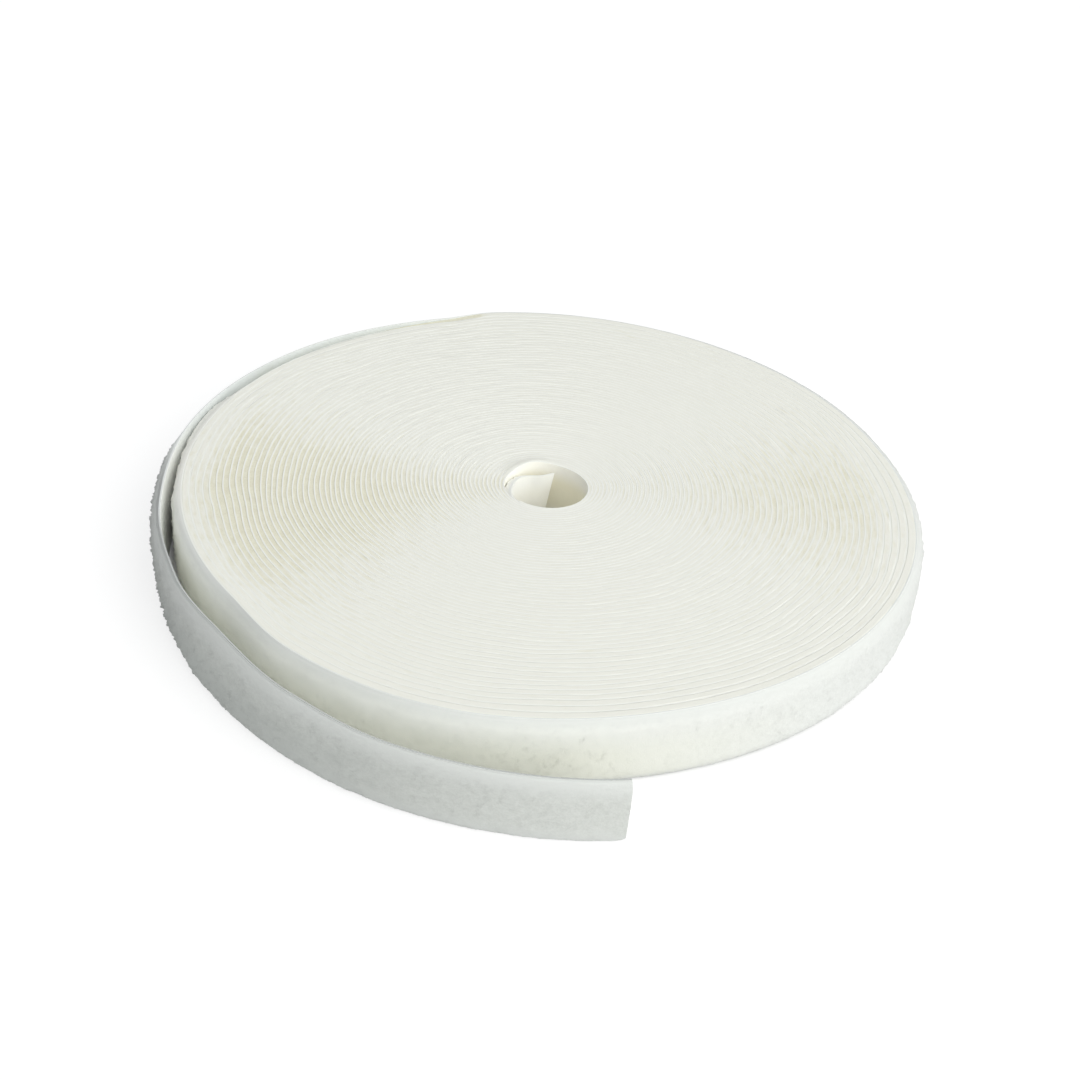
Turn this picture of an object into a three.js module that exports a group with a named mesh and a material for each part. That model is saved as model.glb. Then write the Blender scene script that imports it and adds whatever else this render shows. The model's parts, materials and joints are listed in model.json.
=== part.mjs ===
// A coreless roll of loop tape lying on its edge: one long strip of woven backing with a soft pile,
// wound pile side out round an empty bore. Its first stretch is a loose inner end that curls into the
// bore, and the last third of a turn is a free tail that has come away from the roll.
// Millimetres, +Z up along the roll's axis, origin under the middle of the tape's footprint.

import * as THREE from "three";

// Tape
const TAPE_WIDTH = 20;
const BACKING_THICKNESS = 0.6;
const PILE_THICKNESS = 1.1;
const SELVEDGE = 1; // bare backing above and below the pile
const LAYER_GAP = 0.3; // between backing and pile, and between one turn and the next
const END_GAP = 0.3; // between two lengths of tape that are hinged to each other

// Winding, which goes outwards counter-clockwise seen from above
const BORE_RADIUS = 12; // at the hinge line of the inner end
const ROLL_RADIUS = 113.5; // to the outside of the pile where the tail leaves, before the flat
const LOOPS = 21;
const LOOP_STEPS = 24;
const OUTER_LOOP_STEPS = 48; // the outermost loop is the roll's outline

// Flat, where the outer turns have been pressed in on one side
const FLAT_DEPTH = 4;
const FLAT_ANGLE = 167; // its middle
const FLAT_SPAN = 112; // at its full depth
const FLAT_SHOULDER = 18; // from its full depth to none, at each end
const FLAT_FADE = 8; // power of the radius by which it dies away towards the bore

// Inner end, from its cut edge to the line that it swings on
const INNER_HINGE_ANGLE = 240;
const INNER_END_SWEEP = 152;
const INNER_END_CURL = 1.2; // how much further in than the spiral its cut edge stands
const INNER_END_STEPS = 10;

// Tail, from the line where it leaves the roll to its cut edge
const PEEL_ANGLE = 150;
const TAIL_SWEEP = 132;
const TAIL_LIFT = 24.5; // how far the cut edge stands out from the winding's own line
const TAIL_EASE = 0.8; // the tail leaves slowly, and by this share it runs out along the roll again
const TAIL_LINKS = 3;
const LINK_STEPS = 5;

const FULL_TURN = 360;
const TAPE_THICKNESS = BACKING_THICKNESS + LAYER_GAP + PILE_THICKNESS;
const PILE_BASE = BACKING_THICKNESS + LAYER_GAP;
const PEEL_TURN =
  LOOPS - 1 + THREE.MathUtils.euclideanModulo(PEEL_ANGLE - INNER_HINGE_ANGLE, FULL_TURN) / FULL_TURN;
const OUTER_TURN = PEEL_TURN - 1; // from here on nothing is wound over the pile
const PITCH = (ROLL_RADIUS - TAPE_THICKNESS - BORE_RADIUS) / PEEL_TURN;
const INNER_TURNS = INNER_END_SWEEP / FULL_TURN;
const TAIL_TURNS = TAIL_SWEEP / FULL_TURN;
const SLOPE_STEP = 1e-4; // turns, to measure how fast the tape moves outwards

const backingMaterial = new THREE.MeshStandardMaterial({
  color: 0xf1f1e6,
  roughness: 0.75,
  metalness: 0,
});
const pileMaterial = new THREE.MeshStandardMaterial({
  color: 0xe7e6d6,
  roughness: 0.95,
  metalness: 0,
});

function tapeAngle(turn) {
  return INNER_HINGE_ANGLE + FULL_TURN * turn;
}

// How far the flat presses in a turn of a given radius at an angle
function flatDepth(angle, radius) {
  const onwards = THREE.MathUtils.euclideanModulo(angle - FLAT_ANGLE, FULL_TURN);
  const away = Math.min(onwards, FULL_TURN - onwards);
  const outside = THREE.MathUtils.smoothstep(away, FLAT_SPAN / 2, FLAT_SPAN / 2 + FLAT_SHOULDER);
  return FLAT_DEPTH * (1 - outside) * (radius / ROLL_RADIUS) ** FLAT_FADE;
}

// Radius to the inner face of the backing after a number of turns from the inner end's hinge line: a
// spiral that the flat presses in. The inner end curls in from it and the tail lifts off it.
function tapeRadius(turn) {
  const spiral = BORE_RADIUS + PITCH * turn;
  const curl = INNER_END_CURL * (Math.max(0, -turn) / INNER_TURNS) ** 2;
  const along = Math.max(0, turn - PEEL_TURN) / TAIL_TURNS;
  const lift = TAIL_LIFT * ((1 + TAIL_EASE) * along ** 3 - TAIL_EASE * along ** 6);
  const flat = flatDepth(tapeAngle(Math.min(turn, PEEL_TURN)), spiral);
  return spiral - curl + lift - flat;
}

// Point on the inner face of the backing, moved outwards by an offset square to the tape
function tapePoint(turn, offset) {
  const angle = THREE.MathUtils.degToRad(tapeAngle(turn));
  const radius = tapeRadius(turn);
  const rise = (tapeRadius(turn + SLOPE_STEP) - tapeRadius(turn - SLOPE_STEP)) / (2 * SLOPE_STEP);
  const radial = new THREE.Vector2(Math.cos(angle), Math.sin(angle));
  const sideways = new THREE.Vector2(-radial.y, radial.x);
  const outward = radial
    .clone()
    .multiplyScalar(2 * Math.PI * radius)
    .addScaledVector(sideways, -rise)
    .normalize();
  return radial.multiplyScalar(radius).addScaledVector(outward, offset);
}

// Top of the pile above the backing's inner face. Inside the roll it reaches the next turn, and on
// the outermost turn, the inner end and the tail it stands at its own height.
function pileTop(turn) {
  const woundOver = turn > 0 && turn <= OUTER_TURN;
  return woundOver ? tapeRadius(turn + 1) - tapeRadius(turn) - LAYER_GAP : TAPE_THICKNESS;
}

// Evenly spaced turn numbers from one to another, drawn in by half an end gap where a neighbour is
function turnsBetween(from, to, steps, gapBefore, gapAfter) {
  const halfGap = (turn) => END_GAP / 2 / (2 * Math.PI * tapePoint(turn, 0).length());
  const first = from + (gapBefore ? halfGap(from) : 0);
  const last = to - (gapAfter ? halfGap(to) : 0);
  return Array.from({ length: steps + 1 }, (_, i) => {
    if (i === 0) return first;
    return i === steps ? last : from + ((to - from) * i) / steps;
  });
}

// Four corners of the tape's section at each turn number: inner low, outer low, outer high, inner high
function sections(turns, base, top, low, high) {
  return turns.map((turn) => {
    const inner = tapePoint(turn, base);
    const outer = tapePoint(turn, top(turn));
    return [
      new THREE.Vector3(inner.x, inner.y, low),
      new THREE.Vector3(outer.x, outer.y, low),
      new THREE.Vector3(outer.x, outer.y, high),
      new THREE.Vector3(inner.x, inner.y, high),
    ];
  });
}

// Closed ribbon through the sections, with its vertices measured from a pivot
function ribbonGeometry(rings, pivot) {
  const corners = rings[0].length;
  const index = [];
  for (let ring = 0; ring < rings.length - 1; ring++) {
    for (let corner = 0; corner < corners; corner++) {
      const next = (corner + 1) % corners;
      const a = ring * corners + corner;
      const b = a + corners;
      const c = (ring + 1) * corners + next;
      const d = ring * corners + next;
      index.push(a, b, c, a, c, d);
    }
  }
  const end = (rings.length - 1) * corners;
  index.push(0, 1, 2, 0, 2, 3);
  index.push(end, end + 2, end + 1, end, end + 3, end + 2);
  const points = rings.flat().map((point) => point.clone().sub(pivot));
  const geometry = new THREE.BufferGeometry().setFromPoints(points);
  geometry.setIndex(index);
  geometry.computeVertexNormals();
  return geometry;
}

// Backing and pile of one length of tape, added to a group that stands at the pivot
function addTape(group, names, turns) {
  const pivot = new THREE.Vector3();
  group.updateWorldMatrix(true, false);
  group.getWorldPosition(pivot);
  const layers = [
    {
      name: names.backing,
      rings: sections(turns, 0, () => BACKING_THICKNESS, 0, TAPE_WIDTH),
      material: backingMaterial,
    },
    {
      name: names.pile,
      rings: sections(turns, PILE_BASE, pileTop, SELVEDGE, TAPE_WIDTH - SELVEDGE),
      material: pileMaterial,
    },
  ];
  for (const { name, rings, material } of layers) {
    const mesh = new THREE.Mesh(ribbonGeometry(rings, pivot), material);
    mesh.name = name;
    group.add(mesh);
  }
  return layers;
}

// Group that turns about a vertical line through a point of the tape
function hingeGroup(parent, name, turn, offset) {
  const line = tapePoint(turn, offset);
  const group = new THREE.Group();
  group.name = name;
  parent.updateWorldMatrix(true, false);
  group.position.copy(parent.worldToLocal(new THREE.Vector3(line.x, line.y, 0)));
  parent.add(group);
  return group;
}

// Least distance from a wound layer's outer face to its own inner face about one turn further out,
// measured between points along the facets
function leastGap(turns, rings) {
  const samples = 4;
  const facePoints = (corner) =>
    rings.slice(0, -1).flatMap((ring, i) =>
      Array.from({ length: samples }, (_, s) => ({
        turn: THREE.MathUtils.lerp(turns[i], turns[i + 1], s / samples),
        point: ring[corner].clone().lerp(rings[i + 1][corner], s / samples),
      })),
    );
  const inner = facePoints(0);
  const gaps = facePoints(1).flatMap((from) =>
    inner
      .filter((to) => Math.abs(to.turn - from.turn - 1) < 1 / LOOP_STEPS)
      .map((to) => from.point.distanceTo(to.point)),
  );
  return Math.min(...gaps);
}

const roll = new THREE.Group();
roll.name = "roll";

const woundTurns = [
  ...turnsBetween(0, OUTER_TURN, Math.round(OUTER_TURN * LOOP_STEPS), true, false),
  ...turnsBetween(OUTER_TURN, PEEL_TURN, OUTER_LOOP_STEPS, false, true).slice(1),
];
const wound = addTape(roll, { backing: "wound_backing", pile: "wound_pile" }, woundTurns);
for (const { name, rings } of wound) {
  console.log(`${name}: least gap to itself ${leastGap(woundTurns, rings).toFixed(2)} mm`);
}

// The inner end swings into the bore on the backing's inner face
const innerEnd = hingeGroup(roll, "inner_end", 0, 0);
addTape(
  innerEnd,
  { backing: "inner_end_backing", pile: "inner_end_pile" },
  turnsBetween(-INNER_TURNS, 0, INNER_END_STEPS, false, true),
);

// Each length of the tail swings outwards on the pile's outer face of the length before it
let carrier = roll;
for (let link = 1; link <= TAIL_LINKS; link++) {
  const from = PEEL_TURN + (TAIL_TURNS * (link - 1)) / TAIL_LINKS;
  const to = PEEL_TURN + (TAIL_TURNS * link) / TAIL_LINKS;
  const tail = hingeGroup(carrier, `tail_${link}`, from, TAPE_THICKNESS);
  addTape(
    tail,
    { backing: `tail_backing_${link}`, pile: `tail_pile_${link}` },
    turnsBetween(from, to, LINK_STEPS, true, link < TAIL_LINKS),
  );
  carrier = tail;
}

// Middle of the footprint over the origin
const part = new THREE.Group();
const footprint = new THREE.Box3().setFromObject(roll).getCenter(new THREE.Vector3());
roll.position.set(-footprint.x, -footprint.y, 0);
part.add(roll);

export default part;
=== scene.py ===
"""Looks of a roll of soft loop tape: the real number of turns of woven backing and brushed pile, a loose
inner end in the bore, a free tail, and the light, floor and camera that show them. Metres, +Z up."""

import copy
import json
import math

import bpy
import numpy as np
from mathutils import Matrix, Vector


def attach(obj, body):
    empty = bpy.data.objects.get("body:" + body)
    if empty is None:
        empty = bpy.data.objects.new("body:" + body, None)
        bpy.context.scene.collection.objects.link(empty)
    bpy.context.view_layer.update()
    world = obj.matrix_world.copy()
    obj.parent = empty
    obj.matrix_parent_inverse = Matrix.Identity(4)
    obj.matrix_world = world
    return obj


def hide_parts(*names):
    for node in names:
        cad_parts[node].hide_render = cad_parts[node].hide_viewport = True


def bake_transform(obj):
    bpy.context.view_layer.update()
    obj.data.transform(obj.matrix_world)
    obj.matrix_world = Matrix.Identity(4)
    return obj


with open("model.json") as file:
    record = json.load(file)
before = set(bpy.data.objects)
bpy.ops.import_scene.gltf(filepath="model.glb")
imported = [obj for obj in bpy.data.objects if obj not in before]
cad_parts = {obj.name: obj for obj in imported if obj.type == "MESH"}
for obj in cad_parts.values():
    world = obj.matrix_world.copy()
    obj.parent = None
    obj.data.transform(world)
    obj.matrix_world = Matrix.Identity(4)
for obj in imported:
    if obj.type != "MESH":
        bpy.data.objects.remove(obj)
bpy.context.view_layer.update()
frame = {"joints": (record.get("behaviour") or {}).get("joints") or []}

MM = 0.001

# Tape
TAPE_WIDTH = 20 * MM
BACKING = 0.45 * MM
EDGE_BEVEL = 0.04 * MM
EDGE_SHARP = 30  # degrees between two faces, above which the edge is a sharp one
PILE_FREE = 2.2 * MM  # height of the pile where nothing presses on it
PILE_INSET = 0.15 * MM  # bare backing above and below free pile

# Winding, counter-clockwise outwards, from the line that the inner end swings on
BORE_RADIUS = 12 * MM
BORE_ANGLE = 240
PEEL_ANGLE = 150
TURNS = 65  # that begin before the peel line
PEEL_TURN = TURNS + (PEEL_ANGLE - BORE_ANGLE) / 360
OUTER_TURN = PEEL_TURN - 1  # from here on nothing is wound over the pile
RIM_RADIUS = 109.5 * MM  # inner face of the backing at the peel line, if all turns lay tight and round
PITCH_GROWTH = 0.0096  # per turn: the tape is wound tighter near the bore
LOOSE = 1.6 * MM  # how far the outermost turns have sprung open
LOOSE_TURNS = 1.1

# How far wound pile lies below the edges of its backing: beside them, and midway between two turns
WOUND_RECESS = 0.02 * MM
GROOVE = 0.022 * MM

# Where it has sunk further on two sides of the roll: angle, depth and spread
SUNK = [(195, 0.12 * MM, 21), (2, 0.06 * MM, 19)]
SUNK_AT_BORE = 0.45  # shares of the depth that are left there and at the rim
SUNK_AT_RIM = 0.2
SUNK_GROWS = (10, 50)  # turns over which it gets its full depth, and over which it loses it
SUNK_FADES = (PEEL_TURN - 9, PEEL_TURN - 2)

# Where the outermost turn opens towards the tail
OPENS_OVER = 50 / 360  # turns
OPEN_DEPTH = 4 * MM

# Outline of the outer turns: a flat pressed into one side, and bulges (angle, height, spread)
FLAT_DEPTH = 2.7 * MM
FLAT_ANGLE = 167
FLAT_BEGINS = (-66, -56)  # degrees from its middle: none yet, and full depth
FLAT_ENDS = (53, 69)
BULGES = [(258, 3.0 * MM, 16), (80, 2.0 * MM, 23), (20, -0.5 * MM, 10)]
OUTLINE_FADE = 4  # power of the radius by which the outline dies away towards the bore

# Bore, which the inner turns have pulled to one side
BORE_SHIFT = 1.7 * MM
BORE_SHIFT_ANGLE = 300
BORE_SHRINK = 0.3 * MM
BORE_FADE = 9  # turns over which this dies away

# First turn, which stands up at one side of the bore
PEAK_ANGLE = 114
PEAK_HEIGHT = 1.5 * MM
PEAK_SPREAD = 24
PEAK_TURNS = 1.5

# Gap that has opened between two turns
SLIT_ANGLE = 33
SLIT_TURN = PEEL_TURN - 8.2
SLIT_SPREAD = 9
SLIT_WIDTH = 1.0 * MM
SLIT_EASE = 0.5  # turns on either side of it, over which it opens
SLIT_FADE = 4  # turns over which it dies away outwards
SLIT_UNTIL = (PEEL_TURN - 0.1, PEEL_TURN + 0.05)  # the tail has no part in it

# Unevenness of the turns: ripples along the tape, and wobbles that run through several turns
WAVE_SPREAD = (0.85, 1.15)  # by which the length of each wave is changed
RIPPLE = 0.09 * MM
RIPPLE_WAVES = (9 * MM, 60 * MM)
WOBBLE = 0.42 * MM
WOBBLES = 420
WOBBLES_FROM = 0.02  # share of the roll's area, round its axis, that has none
WOBBLE_HEIGHTS = (0.4, 1)  # shares of the full height
WOBBLE_LENGTHS = (4, 11)  # millimetres along the tape, and across the turns
WOBBLE_DEPTHS = (3, 8)
UNEVEN_FROM = (0, 2)  # turns over which they begin and end
UNEVEN_UNTIL = (PEEL_TURN - 4, PEEL_TURN - 0.8)

# Unevenness of the tape's edges
RISE = 0.025 * MM
RISE_WAVES = (14 * MM, 160 * MM)
RISE_MIDDLE = 1.4  # of the waves, which are cut off at the surface that the roll lies on
RISE_UNTIL = (PEEL_TURN, PEEL_TURN + 0.1)

# Tail: shares of its length where it has left the roll and where it runs round again
TAIL_TURNS = 131.5 / 360
TAIL_LIFT = 23.5 * MM
TAIL_LEAVES = 0.2
TAIL_SETTLES = 1.02
TAIL_CORNER = 2.5 * MM  # rounding of its lower corner
TAIL_CORNER_ROWS = 12  # rows of points that the rounding draws together

# Degrees past the peel line, and how many millimetres the upper edge stands out there beyond the lower one
LEAN = [
    (-50, 0.0),
    (-8, 1.5),
    (25, 2.1),
    (45, 1.6),
    (63, 0.3),
    (78, -1.8),
    (92, -0.6),
    (105, 0.8),
    (132, 1.2),
]

# Inner end from the hinge line to the cut: angle, radius of its inner face below, and lean, in millimetres
INNER_END = [
    (240, 12.5, 0.0),
    (208, 10.4, 0.4),
    (190, 8.4, 0.8),
    (160, 7.2, 1.0),
    (148, 6.6, 0.9),
    (129, 5.9, -0.1),
    (101, 6.3, -1.5),
    (91, 7.4, -2.3),
    (86, 8.0, -2.7),
]
INNER_END_ORDER = 5  # of the polynomial curves through its radii and through its leans
INNER_END_LEAN_ORDER = 6
INNER_END_SINK = 0.7 * MM  # how far its upper edge lies below the others midway
INNER_END_SLANT = 0.9 * MM  # how much further the cut reaches at the upper edge

# Seeds of what is random
WOBBLE_SEED = 41
RIPPLE_SEED = 42
RISE_SEED = 43
WOUND_PILE_SEED = 51  # of the zone at the bore, and one more for each zone further out
OUTER_PILE_SEED = 61
END_PILE_SEED = 91


def smoothstep(low, high, x):
    t = np.clip((x - low) / (high - low), 0, 1)
    return t * t * (3 - 2 * t)


def hump(away, spread):
    """Bell curve, 1 in its middle."""
    return np.exp(-0.5 * (away / spread) ** 2)


def joint_place(name):
    joint = next(j for j in frame["joints"] if j["name"] == name)
    return np.array(joint["pos_m"][:2])


def plan(angle, radius):
    """Points of the plan about the roll's axis, at angles in degrees."""
    turned = np.radians(angle)
    return np.stack([np.cos(turned), np.sin(turned)], -1) * np.asarray(radius)[..., None]


ROLL_AXIS = joint_place("inner_end_swing") - plan(BORE_ANGLE, BORE_RADIUS)
PITCH_BORE = (RIM_RADIUS - BORE_RADIUS) * PITCH_GROWTH / math.expm1(PITCH_GROWTH * PEEL_TURN)

# Path of the tape


def angle_from(turn, angle):
    """Degrees from an angle to the tape after some turns, from -180 to 180."""
    return (BORE_ANGLE + 360 * turn - angle + 180) % 360 - 180


def run(turn):
    """Length of tape from the bore's hinge line."""
    ratio = PITCH_BORE / PITCH_GROWTH
    even = (BORE_RADIUS - ratio) * turn
    growing = ratio / PITCH_GROWTH * np.expm1(PITCH_GROWTH * turn)
    return 2 * math.pi * (even + growing)


def ripple(length, shortest, longest, seed, waves=14):
    """Smooth noise along the tape, about 1 at its largest."""
    rng = np.random.default_rng(seed)
    total = np.zeros_like(length)
    for wave in np.geomspace(shortest, longest, waves):
        wave *= rng.uniform(*WAVE_SPREAD)
        total += np.sin(2 * math.pi * length / wave + rng.uniform(0, 2 * math.pi))
    return total / math.sqrt(2 * waves)


def wobble(turn, radius):
    """Bulges and hollows that run through several neighbouring turns, about 1 at their largest."""
    rng = np.random.default_rng(WOBBLE_SEED)
    places = np.sqrt(rng.uniform(WOBBLES_FROM, 1, WOBBLES)) * RIM_RADIUS
    angles = rng.uniform(-180, 180, WOBBLES)
    heights = rng.choice([-1, 1], WOBBLES) * rng.uniform(*WOBBLE_HEIGHTS, WOBBLES)
    lengths = rng.uniform(*WOBBLE_LENGTHS, WOBBLES) * MM
    depths = rng.uniform(*WOBBLE_DEPTHS, WOBBLES) * MM
    total = np.zeros_like(radius)
    for place, angle, height, length, depth in zip(places, angles, heights, lengths, depths):
        along = np.radians(angle_from(turn, angle)) * radius / length
        across = (radius - place) / depth
        total += height * np.exp(-0.5 * (along**2 + across**2))
    return total


def slit(turn):
    """How far the gap between two turns moves the turns outside it."""
    outside = smoothstep(SLIT_TURN - SLIT_EASE, SLIT_TURN + SLIT_EASE, turn)
    outside *= np.exp(-np.maximum(turn - SLIT_TURN, 0) / SLIT_FADE)
    return SLIT_WIDTH * outside * hump(angle_from(turn, SLIT_ANGLE), SLIT_SPREAD)


def outline(turn):
    """How far the flat and the bulges move the outermost turns."""
    away = angle_from(turn, FLAT_ANGLE)
    total = -FLAT_DEPTH * smoothstep(*FLAT_BEGINS, away) * (1 - smoothstep(*FLAT_ENDS, away))
    for angle, height, spread in BULGES:
        total += height * hump(angle_from(turn, angle), spread)
    return total


def tape_radius(turn):
    """Radius to the inner face of the backing after some turns from the hinge line in the bore."""
    spiral = BORE_RADIUS + PITCH_BORE / PITCH_GROWTH * np.expm1(PITCH_GROWTH * turn)
    wound = 1 - smoothstep(*SLIT_UNTIL, turn)
    packed = smoothstep(*UNEVEN_FROM, turn) * (1 - smoothstep(*UNEVEN_UNTIL, turn))
    held = np.minimum(turn, PEEL_TURN)
    pressed = outline(held) * (spiral / RIM_RADIUS) ** OUTLINE_FADE
    pulled = BORE_SHIFT * np.cos(np.radians(angle_from(turn, BORE_SHIFT_ANGLE))) - BORE_SHRINK
    loose = LOOSE * np.exp((held - PEEL_TURN) / LOOSE_TURNS)
    lift = TAIL_LIFT * smoothstep(TAIL_LEAVES, TAIL_SETTLES, (turn - PEEL_TURN) / TAIL_TURNS)
    uneven = WOBBLE * wobble(turn, spiral) + RIPPLE * ripple(run(turn), *RIPPLE_WAVES, RIPPLE_SEED)
    moved = pressed + pulled * np.exp(-turn / BORE_FADE) + loose + lift
    return spiral + moved + packed * uneven + wound * slit(turn)


def tape_rise(turn):
    """Height of the tape's lower edge above the surface that the roll lies on."""
    uneven = RISE * (RISE_MIDDLE + ripple(run(turn), *RISE_WAVES, RISE_SEED))
    fading = np.exp(-((turn / PEAK_TURNS) ** 2))
    peak = PEAK_HEIGHT * hump(angle_from(turn, PEAK_ANGLE), PEAK_SPREAD) * fading
    wound = 1 - smoothstep(*RISE_UNTIL, turn)
    return np.maximum(uneven, 0) * wound + peak


def tape_lean(turn):
    """How far the upper edge leans out beyond the lower one, eased from each given place to the next."""
    degrees, leans = np.array(LEAN).T
    here = 360 * (turn - PEEL_TURN)
    total = np.zeros_like(here)
    for place in range(len(LEAN) - 1):
        total += (leans[place + 1] - leans[place]) * smoothstep(degrees[place], degrees[place + 1], here)
    return total * MM


class Line:
    """The tape's inner face in plan at a row of stations, with the way out of the roll, the length along
    the tape, and its rise, lean and height."""

    def __init__(self, angle, radius, length, rise, lean, tall=TAPE_WIDTH):
        self.angle = angle
        self.length = length
        self.rise = rise
        self.lean = lean
        self.tall = np.broadcast_to(tall, angle.shape)
        self.place = plan(angle, radius)
        ahead = np.gradient(self.place, axis=0)
        ahead /= np.linalg.norm(ahead, axis=1)[:, None]
        self.out = np.stack([ahead[:, 1], -ahead[:, 0]], -1)

    def at(self, row, offset, height):
        """Points of the scene at fractional rows, off the inner face and up the tape."""
        rows = np.arange(len(self.angle))

        def pick(values):
            return np.interp(row, rows, values)

        up = height / TAPE_WIDTH
        beside = offset + pick(self.lean) * up
        points = []
        for axis in (0, 1):
            face = ROLL_AXIS[axis] + pick(self.place[:, axis])
            points.append(face + beside * pick(self.out[:, axis]))
        points.append(pick(self.rise) + pick(self.tall) * up)
        return np.stack(points, -1)

    def part(self, chosen):
        """Some of the stations, with the way out as it is on the whole line."""
        part = copy.copy(self)
        for name in ("angle", "length", "rise", "lean", "tall", "place", "out"):
            setattr(part, name, getattr(self, name)[chosen])
        return part


def stations(first, last, step):
    """Turn numbers a step apart along the tape, ends included."""
    count = max(2, round((run(last) - run(first)) / step) + 1)
    finer = 20
    fine = np.linspace(first, last, finer * count)
    return np.interp(np.linspace(run(first), run(last), count), run(fine), fine)


def wound_line(turn):
    return Line(BORE_ANGLE + 360 * turn, tape_radius(turn), run(turn), tape_rise(turn), tape_lean(turn))


def inner_line(step):
    """The inner end, from its cut to the hinge line."""
    angles, radii, leans = np.array(INNER_END).T
    radius = np.polynomial.Polynomial.fit(angles, radii * MM, INNER_END_ORDER)
    lean = np.polynomial.Polynomial.fit(angles, leans * MM, INNER_END_LEAN_ORDER)
    count = round(math.radians(angles[0] - angles[-1]) * BORE_RADIUS / step)
    angle = np.linspace(angles[-1], angles[0], count)
    share = (angles[0] - angle) / (angles[0] - angles[-1])
    tall = TAPE_WIDTH - INNER_END_SINK * np.sin(math.pi * share)
    length = -np.radians(angles[0] - angle) * radius(angle)
    return Line(angle, radius(angle), length, np.zeros(count), lean(angle), tall)


# Meshes


def uncut(row, height, rows):
    """Rows by which the ends of a length of tape draw back: none."""
    return 0.0


def slanted_cut(row, height, rows):
    """The first row's end draws back towards its lower corner."""
    return INNER_END_SLANT / END_STEP * (1 - height / TAPE_WIDTH) * (1 - row / (rows - 1))


def rounded_cut(row, height, rows):
    """The last row's end is rounded at its lower corner."""
    below = np.maximum(TAIL_CORNER - height, 0)
    drawn_back = TAIL_CORNER - np.sqrt(TAIL_CORNER**2 - below**2)
    return -drawn_back / WALL_STEP * smoothstep(rows - TAIL_CORNER_ROWS, rows - 1, row)


def ribbon(name, line, offsets, heights, cut=uncut):
    """Closed ribbon whose section goes inner low, outer low, outer high, inner high. It keeps for each
    point its place on the tape: length, distance from the inner face, height."""
    rows, corners = offsets.shape
    row = np.broadcast_to(np.arange(rows)[:, None], offsets.shape)
    points = line.at(row + cut(row, heights, rows), offsets, heights)
    ring = np.arange(corners)
    following = np.roll(ring, -1)
    base = np.arange(rows - 1)[:, None] * corners
    near = base + ring
    beside = base + following
    faces = np.stack([near, near + corners, beside + corners, beside], -1)
    ends = [list(range(corners)), list(range(rows * corners - 1, (rows - 1) * corners - 1, -1))]
    place = np.stack([np.broadcast_to(line.length[:, None], offsets.shape), offsets, heights], -1)
    closed = faces.reshape(-1, 4).tolist() + ends
    made = tape_object(name, points.reshape(-1, 3), closed, place.reshape(-1, 3))
    pairs = np.array([edge.vertices for edge in made.data.edges])
    at_ends = (pairs.max(1) < corners) | (pairs.min(1) >= (rows - 1) * corners)
    made.data.edges.foreach_set("use_edge_sharp", at_ends)
    return made


def tape_object(name, points, faces, place):
    mesh = bpy.data.meshes.new(name)
    mesh.from_pydata(points.tolist(), [], faces)
    kept = mesh.attributes.new("tape_place", "FLOAT_VECTOR", "POINT")
    kept.data.foreach_set("vector", place.astype(np.float32).ravel())
    mesh.polygons.foreach_set("use_smooth", np.ones(len(mesh.polygons), bool))
    made = bpy.data.objects.new(name, mesh)
    bpy.context.scene.collection.objects.link(made)
    return made


def backing_ribbon(name, line, levels=0, cut=uncut):
    """Woven backing with rounded edges. Levels are extra rows of points up each face."""
    inside = np.linspace(EDGE_BEVEL, TAPE_WIDTH - EDGE_BEVEL, levels + 2)
    up = np.concatenate([[0, 0], inside, [TAPE_WIDTH, TAPE_WIDTH], inside[::-1]])
    out = np.concatenate(
        [
            [EDGE_BEVEL, BACKING - EDGE_BEVEL],
            np.full(levels + 2, BACKING),
            [BACKING - EDGE_BEVEL, EDGE_BEVEL],
            np.zeros(levels + 2),
        ]
    )
    rows = len(line.angle)
    made = ribbon(name, line, np.tile(out, (rows, 1)), np.tile(up, (rows, 1)), cut)
    made.data.set_sharp_from_angle(angle=math.radians(EDGE_SHARP))
    return made


KERNEL_REACH = 2.5  # grains, at which the smoothing is cut off


def soft_noise(rng, rows, columns, grain_rows, grain_columns):
    """Random field smoothed over some rows and columns, with a spread of 1."""
    field = rng.normal(size=(rows, columns))
    for axis, grain in ((0, grain_rows), (1, grain_columns)):
        reach = max(1, math.ceil(KERNEL_REACH * grain))
        kernel = hump(np.arange(-reach, reach + 1), grain)
        kernel /= np.sqrt((kernel**2).sum())
        size = field.shape[axis]
        field = np.apply_along_axis(lambda v: np.convolve(v, kernel)[reach : reach + size], axis, field)
    return field


WOUND_COLUMNS = 7  # of points across the pile between two turns
WOUND_ROUGH = 0.012 * MM
WOUND_GRAINS = (0.7, 0.8)  # rows and columns of points
PRESSED_IN = 0.05 * MM  # how far wound pile reaches into the backing of the next turn


def room_outside(turn):
    """Room from the backing to the next turn, at the lower and at the upper edge."""
    low = tape_radius(turn + 1) - tape_radius(turn) - BACKING
    return low, low + tape_lean(turn + 1) - tape_lean(turn)


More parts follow.
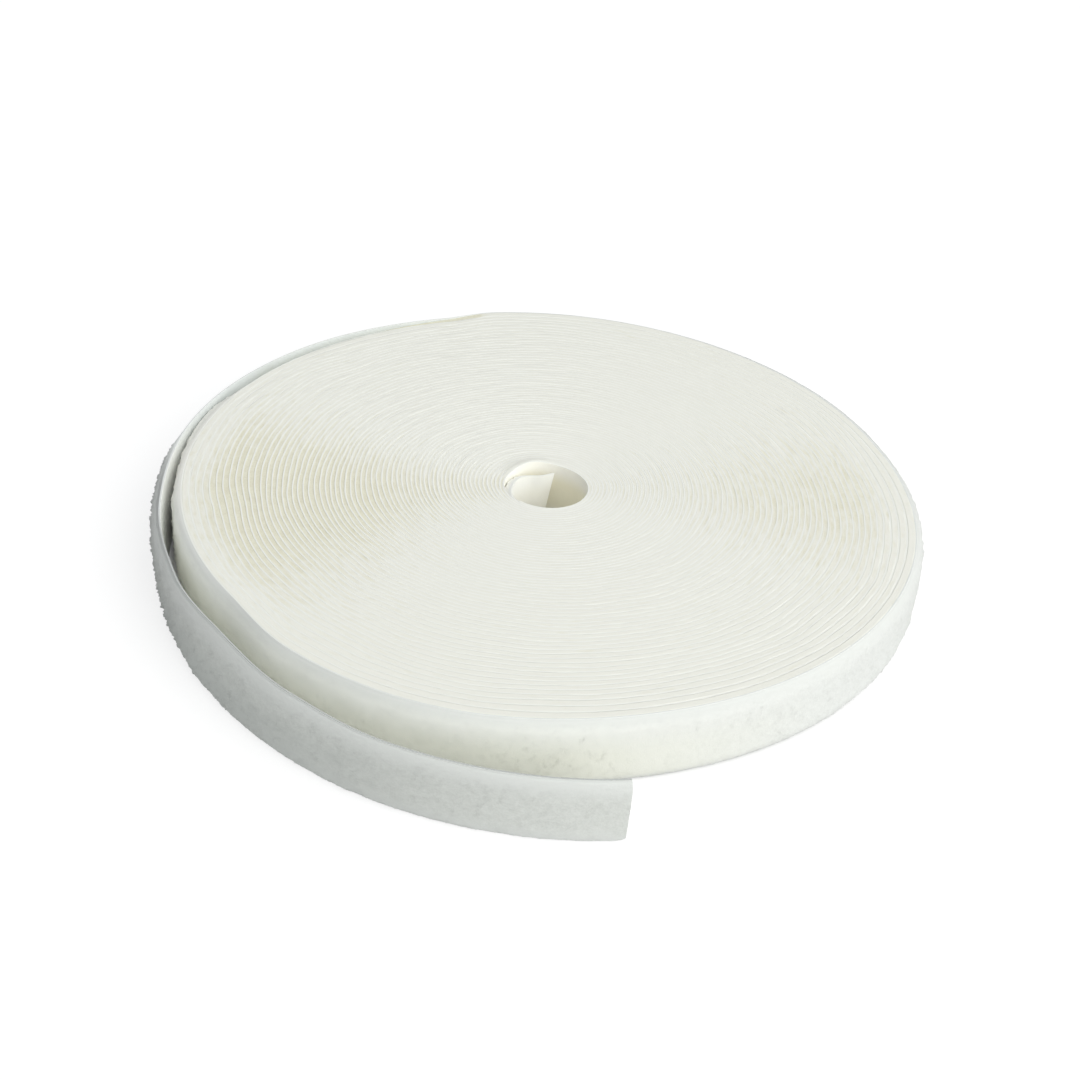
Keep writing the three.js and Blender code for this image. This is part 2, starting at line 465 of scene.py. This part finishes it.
def wound_pile_ribbon(name, turn, line, seed):
    """Pile between two turns: it fills what the next turn leaves, and its edges are rough."""
    rng = np.random.default_rng(seed)
    across = np.linspace(0, 1, WOUND_COLUMNS)
    share = SUNK_AT_BORE + (1 - SUNK_AT_BORE) * smoothstep(*SUNK_GROWS, turn)
    share -= (1 - SUNK_AT_RIM) * smoothstep(*SUNK_FADES, turn)
    sides = sum(depth * hump(angle_from(turn, angle), spread) for angle, depth, spread in SUNK)
    sunk = (WOUND_RECESS + share * sides)[:, None] + GROOVE * np.sin(math.pi * across)
    open_by = OPEN_DEPTH * smoothstep(OUTER_TURN - OPENS_OVER, OUTER_TURN, turn)
    low_out, high_out = [BACKING + (room + PRESSED_IN)[:, None] * across for room in room_outside(turn)]
    rough = [soft_noise(rng, len(turn), WOUND_COLUMNS, *WOUND_GRAINS) for _ in range(2)]
    low, high = [sunk + WOUND_ROUGH * noise for noise in rough]
    high += open_by[:, None]
    out = np.concatenate([low_out, high_out[:, ::-1]], 1)
    return ribbon(name, line, out, np.concatenate([low, TAPE_WIDTH - high[:, ::-1]], 1))


PILE_WIDTH = TAPE_WIDTH - 2 * PILE_INSET
WALL_STEP = 0.45 * MM
END_STEP = 0.5 * MM
PILE_LEVELS = 39
EDGE_SHARE = 0.3  # of the pile's height is left at its edges
CROWN = 7  # power by which it thins towards them
LUMP = 0.1 * MM
LUMP_GRAINS = (1.5, 4.5)  # rows of points
LUMP_SQUAT = 0.8  # height of a lump to its length, in points
TUFT = 0.28 * MM
TUFT_GRAIN = 0.5
TUFTS_OVER = 0.3  # spreads of the noise, above which a tuft stands out
TUFTS_TALL = 1.7  # spreads, above which it doesn't grow
WALL_FLAT = 0.45  # shares by which the wall and the tail are lit as flat faces
TAIL_FLAT = 0.7


class FreePile:
    """Sections of pile that stands free. Its outer face has lumps and tufts, but is lit as a smooth one,
    which is rounded towards its edges or, by a share, flat. Shaggy tufts are taller by another share."""

    def __init__(self, line, seed, thick, flat=0.0, shaggy=0.0):
        rows = len(line.angle)
        rng = np.random.default_rng(seed)
        level = np.linspace(0, PILE_WIDTH, PILE_LEVELS)
        share = 1 - (1 - EDGE_SHARE) * np.abs(2 * level / PILE_WIDTH - 1) ** CROWN
        grains = [(grain, LUMP_SQUAT * grain) for grain in LUMP_GRAINS]
        lumps = LUMP * sum(soft_noise(rng, rows, PILE_LEVELS, *grain) for grain in grains)
        fibres = soft_noise(rng, rows, PILE_LEVELS, TUFT_GRAIN, TUFT_GRAIN)
        tufts = TUFT * np.clip(fibres - TUFTS_OVER, 0, TUFTS_TALL)
        tufts *= 1 + np.reshape(shaggy, (-1, 1))
        thick = np.broadcast_to(thick, (rows, PILE_LEVELS))
        smooth = BACKING + thick * share
        rough = (lumps + tufts) * share * np.minimum(thick / PILE_FREE, 1)
        self.heights = np.tile(PILE_INSET + np.pad(level, 1, "edge"), (rows, 1))
        self.offsets = np.pad(smooth + rough, ((0, 0), (1, 1)), constant_values=BACKING)
        row = np.broadcast_to(np.arange(rows)[:, None], self.heights.shape)
        points = line.at(row, np.pad(smooth, ((0, 0), (1, 1)), constant_values=BACKING), self.heights)
        rounded = np.cross(np.gradient(points, axis=0), np.gradient(points, axis=1))
        rounded /= np.linalg.norm(rounded, axis=2)[..., None]
        outwards = np.column_stack([line.out, -line.lean / TAPE_WIDTH])[:, None]
        self.normals = rounded + np.reshape(flat, (-1, 1, 1)) * (outwards - rounded)
        self.normals /= np.linalg.norm(self.normals, axis=2)[..., None]

    def make(self, name, line, chosen=slice(None), cut=uncut):
        made = ribbon(name, line, self.offsets[chosen], self.heights[chosen], cut)
        made.data.normals_split_custom_set_from_vertices(self.normals[chosen].reshape(-1, 3).tolist())
        return made


# Materials


class Nodes:
    """A material's nodes, linked by short calls."""

    def __init__(self, name):
        self.material = bpy.data.materials.new(name)
        self.material.use_nodes = True
        self.tree = self.material.node_tree
        self.shader = self.tree.nodes["Principled BSDF"]

    def add(self, kind, inputs=(), **settings):
        node = self.tree.nodes.new(kind)
        for key, value in settings.items():
            setattr(node, key, value)
        for key, value in dict(inputs).items():
            if isinstance(value, bpy.types.NodeSocket):
                self.tree.links.new(value, node.inputs[key])
            else:
                node.inputs[key].default_value = value
        return node

    def tape_place(self, size):
        """Place on the tape, in units of a size."""
        kept = self.add("ShaderNodeAttribute", attribute_name="tape_place")
        sized = self.add("ShaderNodeVectorMath", {0: kept.outputs["Vector"]}, operation="SCALE")
        sized.inputs["Scale"].default_value = 1 / size
        return sized.outputs["Vector"]

    def noise(self, size, detail=2.0):
        inputs = {"Vector": self.tape_place(size), "Scale": 1.0, "Detail": detail}
        return self.add("ShaderNodeTexNoise", inputs).outputs["Fac"]

    def ramp(self, value, low, high, dark, light):
        node = self.add("ShaderNodeValToRGB", {"Fac": value})
        node.color_ramp.elements[0].position = low
        node.color_ramp.elements[0].color = (*dark, 1)
        node.color_ramp.elements[1].position = high
        node.color_ramp.elements[1].color = (*light, 1)
        return node.outputs["Color"]

    def math(self, operation, *values):
        return self.add("ShaderNodeMath", dict(enumerate(values)), operation=operation).outputs["Value"]

    def place_part(self, axis):
        kept = self.add("ShaderNodeAttribute", attribute_name="tape_place")
        return self.add("ShaderNodeSeparateXYZ", {0: kept.outputs["Vector"]}).outputs[axis]

    def between(self, value, low, high):
        """From 0 at one value to 1 at another."""
        limits = {"Value": value, "From Min": low, "From Max": high}
        return self.add("ShaderNodeMapRange", limits, interpolation_type="SMOOTHSTEP").outputs["Result"]

    def edge_depth(self):
        """Distance from the nearer edge of the tape."""
        off_middle = self.math("ABSOLUTE", self.math("SUBTRACT", self.place_part("Z"), TAPE_WIDTH / 2))
        return self.math("SUBTRACT", TAPE_WIDTH / 2, off_middle)

    def blend(self, share, first, second):
        node = self.add("ShaderNodeMix", data_type="RGBA")
        for key, value in (("Factor_Float", share), ("A_Color", first), ("B_Color", second)):
            socket = next(s for s in node.inputs if s.identifier == key)
            if isinstance(value, tuple):
                socket.default_value = (*value, 1)
            else:
                self.tree.links.new(value, socket)
        return next(s for s in node.outputs if s.identifier == "Result_Color")

    def link(self, value, key):
        self.tree.links.new(value, self.shader.inputs[key])

    def bump(self, height, strength, distance):
        node = self.add("ShaderNodeBump", {"Height": height, "Strength": strength, "Distance": distance})
        self.link(node.outputs["Normal"], "Normal")


# Weave of the backing. Its colours change with the depth from the edges of the tape, and the lining's with
# the distance from the inner face
YARN_PATCHES = 7 * MM
YARN_CONTRAST = (0.35, 0.65)
LINING_DEEPENS = (1.5 * MM, 7 * MM)
LINING_ENDS = (0.02 * MM, 0.09 * MM)
EDGE_ENDS = (0.05 * MM, 0.3 * MM)
WEAVE = {"X": 1.6 * MM, "Z": 1.3 * MM}  # sizes of the bands of yarn, along and up the tape
WEAVE_FUZZ = 0.5 * MM
WEAVE_BUMP = 0.25
WEAVE_DEPTH = 0.06 * MM

# Loops of the pile
CLUMPS = 3.0 * MM
CLUMPS_FREE = 1.2 * MM  # where nothing presses on it
FIBRES = 0.5 * MM
PILE_CONTRAST = (0.32, 0.66)
PILE_FUZZ = 0.4 * MM
PILE_FUZZ_DEPTH = 0.18 * MM


def backing_material(name, dark, light, inside, deep, edge, begins=None, edge_ends=None):
    """Plain weave of fine flat yarns with a slight gloss. Its inner face is of one colour near the edges
    and of another deeper in, and the edges are of a third. Along the tape the inner face may begin with a
    colour of its own, and the edges may end with one. In the backings below the colours of the inner face
    are painted light and painted shade, and so are the tail's edges."""
    nodes = Nodes(name)
    yarn = nodes.ramp(nodes.noise(YARN_PATCHES, 4), *YARN_CONTRAST, dark, light)
    lining = nodes.blend(nodes.between(nodes.edge_depth(), *LINING_DEEPENS), inside, deep)
    if begins:
        first, reach = begins
        lining = nodes.blend(nodes.between(nodes.place_part("X"), *reach), first, lining)
    if edge_ends:
        last, reach = edge_ends
        edge = nodes.blend(nodes.between(nodes.place_part("X"), *reach), edge, last)
    faces = nodes.blend(nodes.between(nodes.place_part("Y"), *LINING_ENDS), lining, yarn)
    nodes.link(nodes.blend(nodes.between(nodes.edge_depth(), *EDGE_ENDS), edge, faces), "Base Color")
    bands = []
    for direction, size in WEAVE.items():
        inputs = {"Vector": nodes.tape_place(size), "Scale": 1.0}
        wave = nodes.add("ShaderNodeTexWave", inputs, bands_direction=direction)
        bands.append(wave.outputs["Fac"])
    height = nodes.math("ADD", nodes.math("MULTIPLY", *bands), nodes.noise(WEAVE_FUZZ))
    nodes.bump(height, WEAVE_BUMP, WEAVE_DEPTH)
    nodes.shader.inputs["Roughness"].default_value = 0.62
    nodes.shader.inputs["Sheen Weight"].default_value = 0.1
    return nodes.material


def pile_material(
    name,
    dark,
    light,
    bump,
    edge,
    edge_reach,
    grain=CLUMPS,
    covered=None,
    below=None,
    begins=None,
):
    """Brushed loops in soft clumps. They have another colour along the edges of the tape and, where given,
    behind the tail, low on the tail and at the beginning of the stretch. Most of these other colours are
    painted light and painted shade, as each material below tells."""
    nodes = Nodes(name)
    clumps = nodes.math("MULTIPLY", nodes.noise(grain, 3), 0.5)
    fibre = nodes.math("MULTIPLY", nodes.noise(FIBRES, 3), 0.5)
    colour = nodes.ramp(nodes.math("ADD", clumps, fibre), *PILE_CONTRAST, dark, light)
    # Behind the tail: painted light, lighter colours, warmer low down, for the shaded gap that the tail
    # leaves
    if covered:
        hidden = nodes.blend(nodes.between(nodes.place_part("Z"), *COVERED_BELOW), *covered)
        colour = nodes.blend(nodes.between(nodes.place_part("X"), *COVERED), hidden, colour)
    # Along the edges: painted shade on the wall's pile, painted light on the tail's and the inner end's,
    # and a lighter colour where wound pile lies flush
    colour = nodes.blend(nodes.between(nodes.edge_depth(), *edge_reach), edge, colour)
    # Low on the tail: painted shade, darker towards its lower edge until the tail comes out of the shade
    if below:
        up = nodes.between(nodes.place_part("Z"), 0.0, TAPE_WIDTH)
        onwards = nodes.between(nodes.place_part("X"), *SHADED)
        colour = nodes.blend(nodes.math("MAXIMUM", up, onwards), below, colour)
    # At the beginning of the stretch: painted light on the wall and on the tail
    if begins:
        first, reach = begins
        colour = nodes.blend(nodes.between(nodes.place_part("X"), *reach), first, colour)
    nodes.link(colour, "Base Color")
    nodes.bump(nodes.noise(PILE_FUZZ, 4), bump, PILE_FUZZ_DEPTH)
    nodes.shader.inputs["Roughness"].default_value = 0.95
    nodes.shader.inputs["Sheen Weight"].default_value = 0.2
    nodes.shader.inputs["Sheen Roughness"].default_value = 0.6
    return nodes.material


def past(turn, first, last):
    """Stretch of tape between two distances past a turn, as lengths from the bore's hinge line."""
    return run(turn) + first, run(turn) + last


# Stretches over which the colours change, and where; most of these colours are painted light and painted
# shade
COVERED = past(OUTER_TURN, 220 * MM, 320 * MM)  # the tail leaves the wall bare
COVERED_BELOW = (8 * MM, 19 * MM)  # heights, from the lower to the upper colour of the covered wall
FILLED_IN = past(OUTER_TURN, 60 * MM, 110 * MM)  # the wall comes clear of the tail
WALL_EDGE = past(OUTER_TURN, 100 * MM, 200 * MM)  # pile comes to cover the wall's edges
LIFTED = past(PEEL_TURN, 30 * MM, 60 * MM)  # the tail lifts off the roll
TAIL_EDGE = past(PEEL_TURN, 80 * MM, 105 * MM)  # pile comes to cover the tail's edges, which are painted darker there as painted shade
SHADED = past(PEEL_TURN, 120 * MM, 240 * MM)  # the tail comes out of the shade

# Lining of the tail's inner face: painted light, near white to offset the shade in the gap beside the roll
LINING = (0.95, 0.965, 0.93)
WHITE = (0.91, 0.917, 0.86)

# Backing of the wound turns. Its lining is painted shade: a cool grey, darker than the yarn, where the
# outermost turn's inner face shows above the pile.
woven = backing_material(
    "woven_backing",
    (0.87, 0.88, 0.825),
    (0.905, 0.915, 0.865),
    inside=(0.8, 0.835, 0.83),
    deep=(0.8, 0.835, 0.83),
    edge=WHITE,
    edge_ends=((0.8, 0.82, 0.79), WALL_EDGE),
)
# Backing of the turns round the bore. Its lining is painted light: lighter than the yarn, and warm cream
# further from the edges, as a painted glow of light that bounces in the bore and passes through the tape.
bore_woven = backing_material(
    "bore_backing",
    (0.87, 0.88, 0.825),
    (0.905, 0.915, 0.865),
    inside=(0.97, 0.96, 0.885),
    deep=(0.97, 0.935, 0.76),
    edge=WHITE,
)
# Backing of the inner end: a lighter copy of the backing, painted light for the shade of the bore
end_woven = backing_material(
    "end_backing",
    (0.95, 0.955, 0.91),
    (0.97, 0.975, 0.93),
    inside=(0.97, 0.975, 0.93),
    deep=(0.97, 0.965, 0.9),
    edge=WHITE,
)
# Backing of the tail. Its edges are painted shade, grey, and dark grey where pile comes to cover them; its
# lining is painted light, but painted shade where the tail lifts off the roll.
tail_woven = backing_material(
    "tail_backing",
    (0.87, 0.89, 0.86),
    (0.9, 0.92, 0.89),
    inside=LINING,
    deep=LINING,
    edge=(0.77, 0.795, 0.775),
    begins=((0.78, 0.815, 0.805), LIFTED),
    edge_ends=((0.52, 0.54, 0.52), TAIL_EDGE),
)
# Pile between the wound turns: lighter where it lies nearly flush with the edges, beige and darker where
# it has sunk, partly the pile's own tone and partly painted shade of the grooves.
wound_loops = pile_material(
    "wound_loops",
    (0.735, 0.71, 0.55),
    (0.835, 0.82, 0.665),
    bump=0.15,
    edge=(0.883, 0.883, 0.805),
    edge_reach=(0.04 * MM, 0.13 * MM),
)
# Pile of the inner end: a paler copy of the wound pile, painted light for the shade of the bore, lighter
# still near the edges
end_loops = pile_material(
    "end_loops",
    (0.9, 0.9, 0.84),
    (0.95, 0.95, 0.9),
    bump=0.15,
    edge=(0.95, 0.955, 0.92),
    edge_reach=(0, 2 * MM),
)
# Pile of the free wall. Its edges are painted shade, darker along the top and bottom 3 mm. Behind the tail
# it is painted light, lighter and warmer low down, and so is its start beside the tail.
wall_loops = pile_material(
    "wall_loops",
    (0.805, 0.825, 0.79),
    (0.895, 0.915, 0.88),
    bump=0.2,
    edge=(0.78, 0.8, 0.765),
    edge_reach=(0, 3 * MM),
    grain=CLUMPS_FREE,
    covered=((0.96, 0.97, 0.86), (0.95, 0.965, 0.915)),
    begins=((0.9, 0.895, 0.83), FILLED_IN),
)
# Pile of the tail: greyer than the wall's, partly the single layer's own look and partly painted shade.
# Painted shade darkens it towards its lower edge until it comes out of the shade; painted light makes it
# lighter towards its edges and at its start.
tail_loops = pile_material(
    "tail_loops",
    (0.72, 0.745, 0.7),
    (0.84, 0.865, 0.82),
    bump=0.2,
    edge=(0.84, 0.865, 0.83),
    edge_reach=(0, 7 * MM),
    grain=CLUMPS_FREE,
    below=(0.6, 0.63, 0.595),
    begins=((0.82, 0.85, 0.83), LIFTED),
)


def dress(piece, material):
    piece.data.materials.append(material)
    return piece


# Winding

BACKING_STEP = 2.0 * MM
BACKING_LEVELS = 6  # extra rows of points up the faces of backing that stands free
PILE_STEP = 1.3 * MM
ZONES = [0, 24, 42, 54, PEEL_TURN]
ZONE_NAMES = ["core", "inner", "outer", "rim"]
PEEL_LEAD = 0.012  # turns of the tail's first piece that still lie on the roll

# The outermost turn of pile and the tail are on one row of stations, so that the pieces meet
outer_turns = stations(OUTER_TURN, PEEL_TURN + TAIL_TURNS, WALL_STEP)
outer_line = wound_line(outer_turns)
tail_start = outer_turns[np.searchsorted(outer_turns, PEEL_TURN - PEEL_LEAD)]

for zone, name in enumerate(ZONE_NAMES):
    first, last = ZONES[zone], ZONES[zone + 1]
    end = tail_start if last == PEEL_TURN else last
    backing = backing_ribbon(f"wound_backing_{name}", wound_line(stations(first, end, BACKING_STEP)))
    pile_turn = stations(first, min(end, OUTER_TURN), PILE_STEP)
    pile_line = wound_line(pile_turn)
    pile = wound_pile_ribbon(f"wound_pile_{name}", pile_turn, pile_line, WOUND_PILE_SEED + zone)
    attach(dress(backing, woven if zone else bore_woven), "roll")
    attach(dress(pile, wound_loops), "roll")
    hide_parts("wound_backing")
    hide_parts("wound_pile")

# Outermost turn of pile, and the tail

# Under the start of the tail the wall's pile stands up to it, and begins as open above as the wound pile
# before it: degrees past the peel line, and heights
FILLED_UNTIL = (16, 34)
FILLED_BELOW = (18 * MM, 19.5 * MM)
OPEN_UNTIL = (0, 14)
OPEN_ABOVE = (15 * MM, 16.5 * MM)

# Where the tail leaves the roll its pile is brushed down: height, and degrees past the peel line
PILE_BRUSHED = 0.3 * MM
BRUSHED_FROM = (-110, -60)
BRUSHED_UNTIL = (22, 29)

# Further on it is roughed up: how much taller its tufts are, and degrees past the peel line
SHAGGY = 1.1
SHAGGY_FROM = (10, 20)
SHAGGY_UNTIL = (48, 75)

# Where the wall and the tail are lit as flat faces, by degrees from the peel line
WALL_FLAT_FROM = (45, 80)
WALL_FLAT_UNTIL = (-90, -55)
TAIL_FLAT_FROM = (18, 43)

pile_up = np.linspace(0, PILE_WIDTH, PILE_LEVELS)
room_low, room_high = room_outside(outer_turns)
room_up = room_low[:, None] + (room_high - room_low)[:, None] * pile_up / TAPE_WIDTH
past_outer = 360 * (outer_turns - OUTER_TURN)
past_peel = 360 * (outer_turns - PEEL_TURN)
filled = 1 - smoothstep(*FILLED_UNTIL, past_outer)
filled = filled[:, None] * (1 - smoothstep(*FILLED_BELOW, pile_up))
brushed_down = smoothstep(*BRUSHED_FROM, past_peel) * (1 - smoothstep(*BRUSHED_UNTIL, past_peel))
free_thick = (PILE_FREE + (PILE_BRUSHED - PILE_FREE) * brushed_down)[:, None]
outer_thick = free_thick + filled * (room_up - free_thick)
still_open = (1 - smoothstep(*OPEN_UNTIL, past_outer))[:, None] * smoothstep(*OPEN_ABOVE, pile_up)
outer_thick += still_open * (PILE_BRUSHED - outer_thick)
on_tail = smoothstep(*TAIL_FLAT_FROM, past_peel)
on_wall = smoothstep(*WALL_FLAT_FROM, past_outer) * (1 - smoothstep(*WALL_FLAT_UNTIL, past_peel))
outer_flat = WALL_FLAT * on_wall + TAIL_FLAT * on_tail
shaggy = SHAGGY * smoothstep(*SHAGGY_FROM, past_peel) * (1 - smoothstep(*SHAGGY_UNTIL, past_peel))
outer_pile = FreePile(outer_line, OUTER_PILE_SEED, outer_thick, outer_flat, shaggy)


def outer_rows(first, last):
    low, high = np.searchsorted(outer_turns, [first, last])
    return slice(low, high + 1)


# Each strip of the tail has one hinge line, and is parted from the next midway between two of them
tail_joints = ["tail_peel", "tail_bend_1", "tail_bend_2"]
BEND_AFTER = [13 * MM, 9 * MM, 9 * MM]
LINK_TURNS = TAIL_TURNS / len(tail_joints)
tail_starts = [tail_start, PEEL_TURN + 0.5 * LINK_TURNS, PEEL_TURN + 1.5 * LINK_TURNS]
tail_ends = [*tail_starts[1:], PEEL_TURN + TAIL_TURNS]

wall_rows = outer_rows(OUTER_TURN, tail_starts[0])
wall_pile = outer_pile.make("wound_pile_wall", outer_line.part(wall_rows), wall_rows)
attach(dress(wall_pile, wall_loops), "roll")
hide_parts("wound_pile")

for link, joint in enumerate(tail_joints):
    rows = outer_rows(tail_starts[link], tail_ends[link])
    line = outer_line.part(rows)
    cut = rounded_cut if link == len(tail_joints) - 1 else uncut
    backing = backing_ribbon(f"tail_backing_{link + 1}_strip", line, levels=BACKING_LEVELS, cut=cut)
    pile = outer_pile.make(f"tail_pile_{link + 1}_strip", line, rows, cut)
    dress(backing, tail_woven)
    dress(pile, tail_loops)
    hinge_turn = PEEL_TURN + link * LINK_TURNS
    nearest = np.argmin(np.abs(outer_turns - hinge_turn))
    way = outer_line.out[nearest]
    ahead = np.array([-way[1], way[0]])
    pivot = joint_place(joint)
    end = (*(pivot + BEND_AFTER[link] * ahead), 0)
    for piece in (backing, pile):
        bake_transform(piece)
    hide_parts(f"tail_backing_{link + 1}")
    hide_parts(f"tail_pile_{link + 1}")

# Inner end in the bore

END_PILE = 1.0 * MM  # height of the pile that has been squeezed in the bore
END_FILLED = (112, 150)  # angles over which it comes to stand up to the first turn, near the hinge line
END_FILLED_BELOW = (18.6 * MM, 19.8 * MM)

end_line = inner_line(END_STEP)
end_radius = np.linalg.norm(end_line.place, axis=1)
end_room = tape_radius((end_line.angle - BORE_ANGLE) / 360 + 1) - end_radius
end_room /= (end_line.out * plan(end_line.angle, 1.0)).sum(1)  # square to the tape
end_room = (end_room - BACKING)[:, None] - end_line.lean[:, None] * pile_up / TAPE_WIDTH
end_filled = smoothstep(*END_FILLED, end_line.angle)[:, None]
end_filled = end_filled * (1 - smoothstep(*END_FILLED_BELOW, pile_up))
end_thick = END_PILE + end_filled * np.maximum(end_room - END_PILE, 0)
end_backing = backing_ribbon("inner_end_backing_strip", end_line, levels=BACKING_LEVELS, cut=slanted_cut)
end_free = FreePile(end_line, END_PILE_SEED, end_thick)
end_pile = end_free.make("inner_end_pile_strip", end_line, cut=slanted_cut)
dress(end_backing, end_woven)
dress(end_pile, end_loops)
for piece in (end_backing, end_pile):
    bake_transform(piece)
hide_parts("inner_end_backing")
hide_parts("inner_end_pile")

# Floor, light and camera

FLOOR_SIZE = 6.0
FLOOR_UNDER = (0.85, 0.85, 0.85)  # its colours under the roll, and round it, where it glows to the camera
FLOOR_ROUND = (0.4, 0.4, 0.4)
FLOOR_GLOW = 0.7
FLOOR_GLOWS = (109 * MM, 113 * MM)  # distances from the roll's axis over which the glow begins


def seen_rays(tree):
    """1 for rays from the camera and for those that a gloss or glass sends on, otherwise 0."""
    path = tree.nodes.new("ShaderNodeLightPath")
    total = path.outputs["Is Camera Ray"]
    for kind in ("Is Glossy Ray", "Is Transmission Ray"):
        either = tree.nodes.new("ShaderNodeMath")
        either.operation = "MAXIMUM"
        tree.links.new(total, either.inputs[0])
        tree.links.new(path.outputs[kind], either.inputs[1])
        total = either.outputs["Value"]
    return total


def make_floor():
    """Floor that keeps the shadow. Round the roll it glows to the camera, which makes it white where it is
    lit."""
    bpy.ops.mesh.primitive_plane_add(size=FLOOR_SIZE, location=(*ROLL_AXIS, 0))
    floor = bpy.context.object
    floor.name = "floor"
    nodes = Nodes("floor")
    place = nodes.add("ShaderNodeTexCoord").outputs["Object"]
    away = nodes.add("ShaderNodeVectorMath", {0: place}, operation="LENGTH").outputs["Value"]
    round_roll = nodes.between(away, *FLOOR_GLOWS)
    nodes.link(nodes.blend(round_roll, FLOOR_UNDER, FLOOR_ROUND), "Base Color")
    seen = nodes.math("MULTIPLY", seen_rays(nodes.tree), round_roll)
    nodes.link(nodes.math("MULTIPLY", seen, FLOOR_GLOW), "Emission Strength")
    nodes.shader.inputs["Emission Color"].default_value = (1, 1, 1, 1)
    nodes.shader.inputs["Roughness"].default_value = 1.0
    nodes.shader.inputs["Specular IOR Level"].default_value = 0.0
    floor.data.materials.append(nodes.material)


AMBIENT = 0.73
AMBIENT_SIDE = 0.45  # how much stronger it is from the side of the key light
AMBIENT_COLOUR = (0.97, 0.985, 1.0)
KEY_AZIMUTH = -42
KEY_ELEVATION = 34.5
KEY_DISTANCE = 1.4
KEY_SIZE = 1.6
KEY_POWER = 8.9
KEY_COLOUR = (1.0, 0.985, 0.95)


def make_world():
    """Soft light all round, stronger from one side, and white where it is seen."""
    world = bpy.data.worlds.new("studio")
    bpy.context.scene.world = world
    world.use_nodes = True
    tree = world.node_tree
    background = tree.nodes["Background"]
    background.inputs["Color"].default_value = (*AMBIENT_COLOUR, 1)
    place = tree.nodes.new("ShaderNodeTexCoord")
    side = tree.nodes.new("ShaderNodeVectorMath")
    side.operation = "DOT_PRODUCT"
    side.inputs[1].default_value = (*plan(KEY_AZIMUTH, AMBIENT_SIDE), 0)
    tree.links.new(place.outputs["Generated"], side.inputs[0])
    light = tree.nodes.new("ShaderNodeMath")
    light.inputs[1].default_value = AMBIENT
    tree.links.new(side.outputs["Value"], light.inputs[0])
    shown = tree.nodes.new("ShaderNodeMix")
    shown.inputs["B"].default_value = 1.0
    tree.links.new(seen_rays(tree), shown.inputs["Factor"])
    tree.links.new(light.outputs["Value"], shown.inputs["A"])
    tree.links.new(shown.outputs["Result"], background.inputs["Strength"])


def make_key():
    """Round soft light that faces the roll from one side."""
    data = bpy.data.lights.new("key", "AREA")
    data.shape = "DISK"
    data.size = KEY_SIZE
    data.energy = KEY_POWER
    data.color = KEY_COLOUR
    light = bpy.data.objects.new("key", data)
    bpy.context.scene.collection.objects.link(light)
    elevation = math.radians(KEY_ELEVATION)
    flat = ROLL_AXIS + plan(KEY_AZIMUTH, math.cos(elevation) * KEY_DISTANCE)
    light.location = (*flat, math.sin(elevation) * KEY_DISTANCE)
    aim = Vector((*ROLL_AXIS, 0)) - light.location
    light.rotation_euler = aim.to_track_quat("-Z", "Y").to_euler()


CAMERA_BACK = 482.5 * MM
CAMERA_UP = 315.6 * MM
CAMERA_LENS = 63.54
CAMERA_SENSOR = 36
CAMERA_ROLL = 4.765


def make_camera():
    data = bpy.data.cameras.new("camera")
    data.lens = CAMERA_LENS
    data.sensor_width = CAMERA_SENSOR
    camera = bpy.data.objects.new("camera", data)
    bpy.context.scene.collection.objects.link(camera)
    place = Vector((ROLL_AXIS[0], ROLL_AXIS[1] - CAMERA_BACK, CAMERA_UP))
    aim = Vector((*ROLL_AXIS, 0)) - place
    facing = aim.to_track_quat("-Z", "Y").to_matrix().to_4x4()
    rolled = Matrix.Rotation(math.radians(CAMERA_ROLL), 4, "Z")
    camera.matrix_world = Matrix.Translation(place) @ (facing @ rolled)
    bpy.context.scene.camera = camera


make_floor()
make_world()
make_key()
make_camera()
bpy.context.scene.view_settings.view_transform = "Standard"
